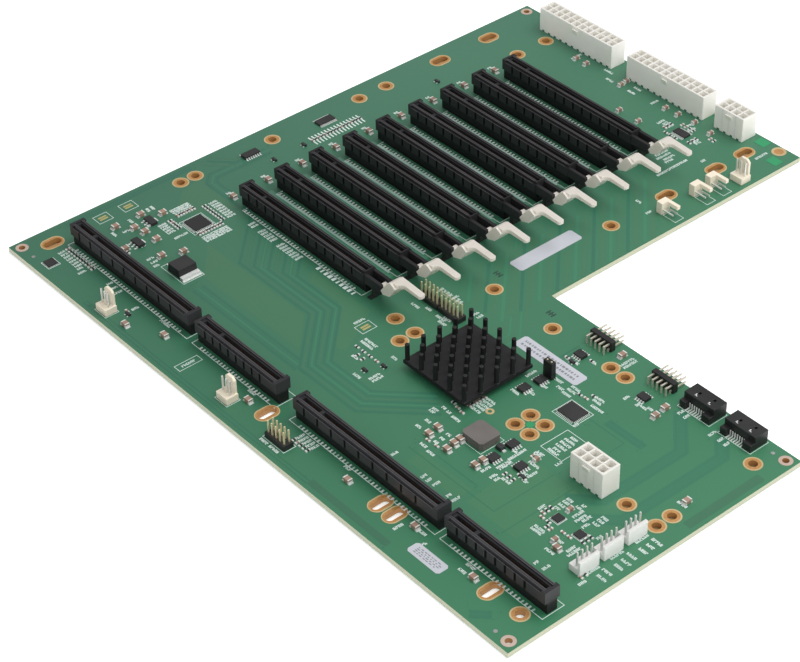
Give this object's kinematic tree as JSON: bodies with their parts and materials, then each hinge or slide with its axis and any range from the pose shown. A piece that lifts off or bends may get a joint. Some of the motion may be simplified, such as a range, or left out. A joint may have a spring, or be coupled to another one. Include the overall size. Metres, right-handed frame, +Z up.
{
  "type": "pcie backplane",
  "caption": "L-shaped green backplane board with a bank of latched card slots, a row of host-board slots, power sockets, headers and a pin-fin heatsink.",
  "frame": {"origin": "centre of the overall box, on the board's underside", "axes": "+X along the card slots towards their latches, +Y from the host slots to the power sockets, +Z up"},
  "size_m": [0.3326, 0.3174, 0.0178],
  "materials": {
    "board_mask": "satin solder mask",
    "slot_black": "moulded",
    "host_grey": "moulded satin",
    "latch_white": "moulded",
    "power_white": "moulded, slightly translucent",
    "fan_white": "moulded",
    "lock_beige": "moulded",
    "header_black": "moulded",
    "tinned_metal": "tin plated",
    "gold_pins": "gold flash",
    "heatsink_metal": "black anodised",
    "thermal_pad": "soft",
    "chip_black": "moulded",
    "inductor_grey": "pressed powder",
    "capacitor_tan": "satin",
    "label_paper": "matte, bare"
  },
  "bodies": {
    "backplane": {"angle_header_1": "header_black", "angle_header_2": "header_black", "angle_header_pins": "gold_pins", "aux_power_socket_1": "power_white", "aux_power_socket_2": "power_white", "capacitors": "capacitor_tan", "chip_packages": "chip_black", "circuit_board": "board_mask", "disk_socket_1": "header_black", "disk_socket_2": "header_black", "fan_header_1": "fan_white", "fan_header_2": "fan_white", "fan_header_3": "fan_white", "fan_header_pins": "tinned_metal", "header_pins": "gold_pins", "heatsink": "heatsink_metal", "host_slot_a": "host_grey", "host_slot_b": "host_grey", "host_slot_c": "host_grey", "host_slot_d": "host_grey", "jumper_cap": "header_black", "jumper_header": "header_black", "labels": "label_paper", "lock_header_1": "lock_beige", "lock_header_2": "lock_beige", "lock_header_3": "lock_beige", "lock_header_pins": "tinned_metal", "main_power_socket_1": "power_white", "main_power_socket_2": "power_white", "option_header_1": "header_black", "option_header_2": "header_black", "pcie_slot_1": "slot_black", "pcie_slot_2": "slot_black", "pcie_slot_3": "slot_black", "pcie_slot_4": "slot_black", "pcie_slot_5": "slot_black", "pcie_slot_6": "slot_black", "pcie_slot_7": "slot_black", "pcie_slot_8": "slot_black", "pcie_slot_9": "slot_black", "power_inductor": "inductor_grey", "power_pins": "tinned_metal", "power_regulator": "chip_black", "service_header": "header_black", "slot_hold_downs": "tinned_metal", "switch_chip": "chip_black", "thermal_pad": "thermal_pad", "wafer_header_1": "lock_beige", "wafer_header_2": "lock_beige", "wafer_header_3": "lock_beige", "wafer_pins": "tinned_metal"},
    "latch_1": {"slot_latch_1": "latch_white"},
    "latch_2": {"slot_latch_2": "latch_white"},
    "latch_3": {"slot_latch_3": "latch_white"},
    "latch_4": {"slot_latch_4": "latch_white"},
    "latch_5": {"slot_latch_5": "latch_white"},
    "latch_6": {"slot_latch_6": "latch_white"},
    "latch_7": {"slot_latch_7": "latch_white"},
    "latch_8": {"slot_latch_8": "latch_white"},
    "latch_9": {"slot_latch_9": "latch_white"}
  },
  "joints": [
    {"name": "latch_1_hinge", "type": "hinge", "parent": "backplane", "child": "latch_1", "pos_m": [-0.02435, -0.0572, 0.01006], "axis": [0, 1, 0], "range_deg": [0, 25]},
    {"name": "latch_2_hinge", "type": "hinge", "parent": "backplane", "child": "latch_2", "pos_m": [-0.02435, -0.03688, 0.01006], "axis": [0, 1, 0], "range_deg": [0, 25]},
    {"name": "latch_3_hinge", "type": "hinge", "parent": "backplane", "child": "latch_3", "pos_m": [-0.02435, -0.01656, 0.01006], "axis": [0, 1, 0], "range_deg": [0, 25]},
    {"name": "latch_4_hinge", "type": "hinge", "parent": "backplane", "child": "latch_4", "pos_m": [-0.02435, 0.00376, 0.01006], "axis": [0, 1, 0], "range_deg": [0, 25]},
    {"name": "latch_5_hinge", "type": "hinge", "parent": "backplane", "child": "latch_5", "pos_m": [-0.02435, 0.02408, 0.01006], "axis": [0, 1, 0], "range_deg": [0, 25]},
    {"name": "latch_6_hinge", "type": "hinge", "parent": "backplane", "child": "latch_6", "pos_m": [-0.02435, 0.0444, 0.01006], "axis": [0, 1, 0], "range_deg": [0, 25]},
    {"name": "latch_7_hinge", "type": "hinge", "parent": "backplane", "child": "latch_7", "pos_m": [-0.02435, 0.06472, 0.01006], "axis": [0, 1, 0], "range_deg": [0, 25]},
    {"name": "latch_8_hinge", "type": "hinge", "parent": "backplane", "child": "latch_8", "pos_m": [-0.02435, 0.08504, 0.01006], "axis": [0, 1, 0], "range_deg": [0, 25]},
    {"name": "latch_9_hinge", "type": "hinge", "parent": "backplane", "child": "latch_9", "pos_m": [-0.02435, 0.10536, 0.01006], "axis": [0, 1, 0], "range_deg": [0, 25]}
  ]
}
